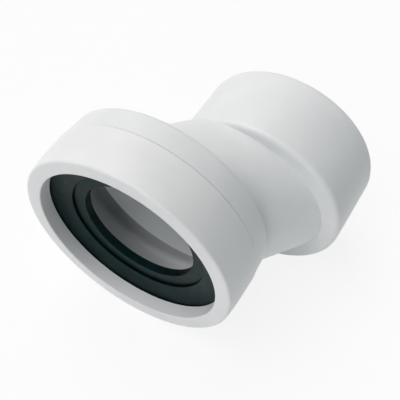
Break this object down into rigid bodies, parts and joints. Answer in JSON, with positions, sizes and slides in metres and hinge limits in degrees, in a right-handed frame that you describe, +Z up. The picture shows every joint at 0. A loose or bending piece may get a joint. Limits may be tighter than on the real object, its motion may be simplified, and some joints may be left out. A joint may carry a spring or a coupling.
{
  "type": "toilet pan connector",
  "caption": "Rigid offset toilet pan connector: a finned rubber seal held in a wide socket by a cap ring, a leaning oval neck and a plain spigot for a soil pipe.",
  "frame": {"origin": "centre of the socket's mouth, on the socket axis", "axes": "+Y along the socket axis from the mouth to the spigot, +Z up as the part lies at rest, +X towards the offset spigot"},
  "size_m": [0.1588, 0.1217, 0.132],
  "materials": {
    "body_plastic": "satin white moulding",
    "seal_rubber": "dark green-black moulded rubber",
    "collar_plastic": "satin white moulding"
  },
  "bodies": {
    "root": {"body": "body_plastic", "seal": "seal_rubber", "collar": "collar_plastic"}
  },
  "joints": []
}
